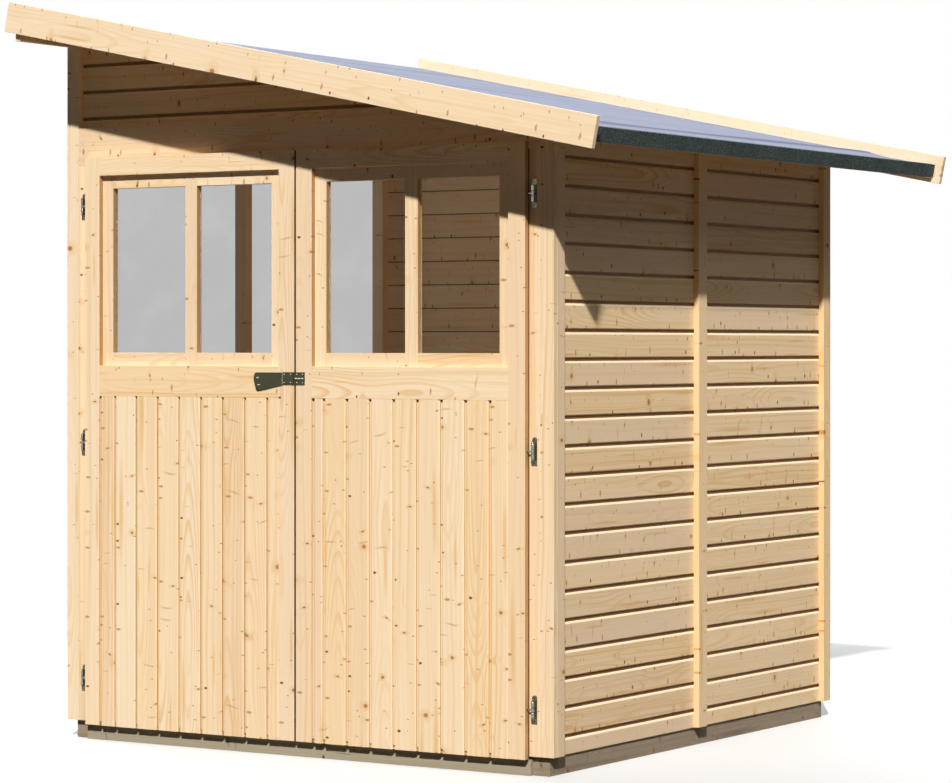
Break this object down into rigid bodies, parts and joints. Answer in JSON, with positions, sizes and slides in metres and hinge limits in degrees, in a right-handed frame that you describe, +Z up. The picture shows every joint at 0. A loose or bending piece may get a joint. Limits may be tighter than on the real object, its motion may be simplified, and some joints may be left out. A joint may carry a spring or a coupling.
{
  "type": "wooden garden shed",
  "caption": "Lean-to garden shed of spruce profile boards with a pent roof, glazed double doors and an open side for a house wall.",
  "frame": {"origin": "middle of the shed's box in plan, on the ground", "axes": "+X to the low eave on the right, +Y from the doors to the rear wall, +Z up"},
  "size_m": [2.1564, 2.35, 2.3331],
  "materials": {
    "spruce": "planed, untreated",
    "base_timber": "sawn, impregnated",
    "roof_sheet": "matt sheet",
    "eave_felt": "mineral felt",
    "zinc": "zinc plated",
    "latch_paint": "dark paint",
    "pane": "clear"
  },
  "bodies": {
    "frame": {"front_base_timber": "base_timber", "rear_base_timber": "base_timber", "right_base_timber": "base_timber", "left_base_timber": "base_timber", "threshold_board": "spruce", "front_posts": "spruce", "rear_posts": "spruce", "open_side_post": "spruce", "wall_studs": "spruce", "rafters": "spruce", "front_corner_strips": "spruce", "door_jambs": "spruce", "door_header": "spruce", "front_gable_panel": "spruce", "right_wall_front_panel": "spruce", "right_wall_rear_panel": "spruce", "rear_wall_left_panel": "spruce", "rear_wall_right_panel": "spruce", "right_wall_strips": "spruce", "rear_wall_strips": "spruce", "high_side_board": "spruce", "roof_deck": "spruce", "roof_felt": "roof_sheet", "eave_board": "spruce", "eave_felt_strip": "eave_felt", "front_fascia": "spruce", "rear_fascia": "spruce", "post_hinge_plates": "zinc"},
    "left_door": {"left_door_stiles": "spruce", "left_door_rails": "spruce", "left_door_boards": "spruce", "left_door_ledges": "spruce", "left_window_uprights": "spruce", "left_window_cross_bars": "spruce", "left_window_pane": "pane", "left_hinge_studs": "zinc", "latch": "latch_paint"},
    "right_door": {"right_door_stiles": "spruce", "right_door_rails": "spruce", "right_door_boards": "spruce", "right_door_ledges": "spruce", "right_window_uprights": "spruce", "right_window_cross_bars": "spruce", "right_window_pane": "pane", "right_hinge_studs": "zinc", "latch_keeper": "latch_paint"}
  },
  "joints": [
    {"name": "left_door_swing", "type": "hinge", "parent": "frame", "child": "left_door", "pos_m": [-0.97394, -0.918, 0.9], "axis": [0, 0, -1], "range_deg": [0, 105]},
    {"name": "right_door_swing", "type": "hinge", "parent": "frame", "child": "right_door", "pos_m": [0.71006, -0.918, 0.9], "axis": [0, 0, 1], "range_deg": [0, 105]}
  ]
}
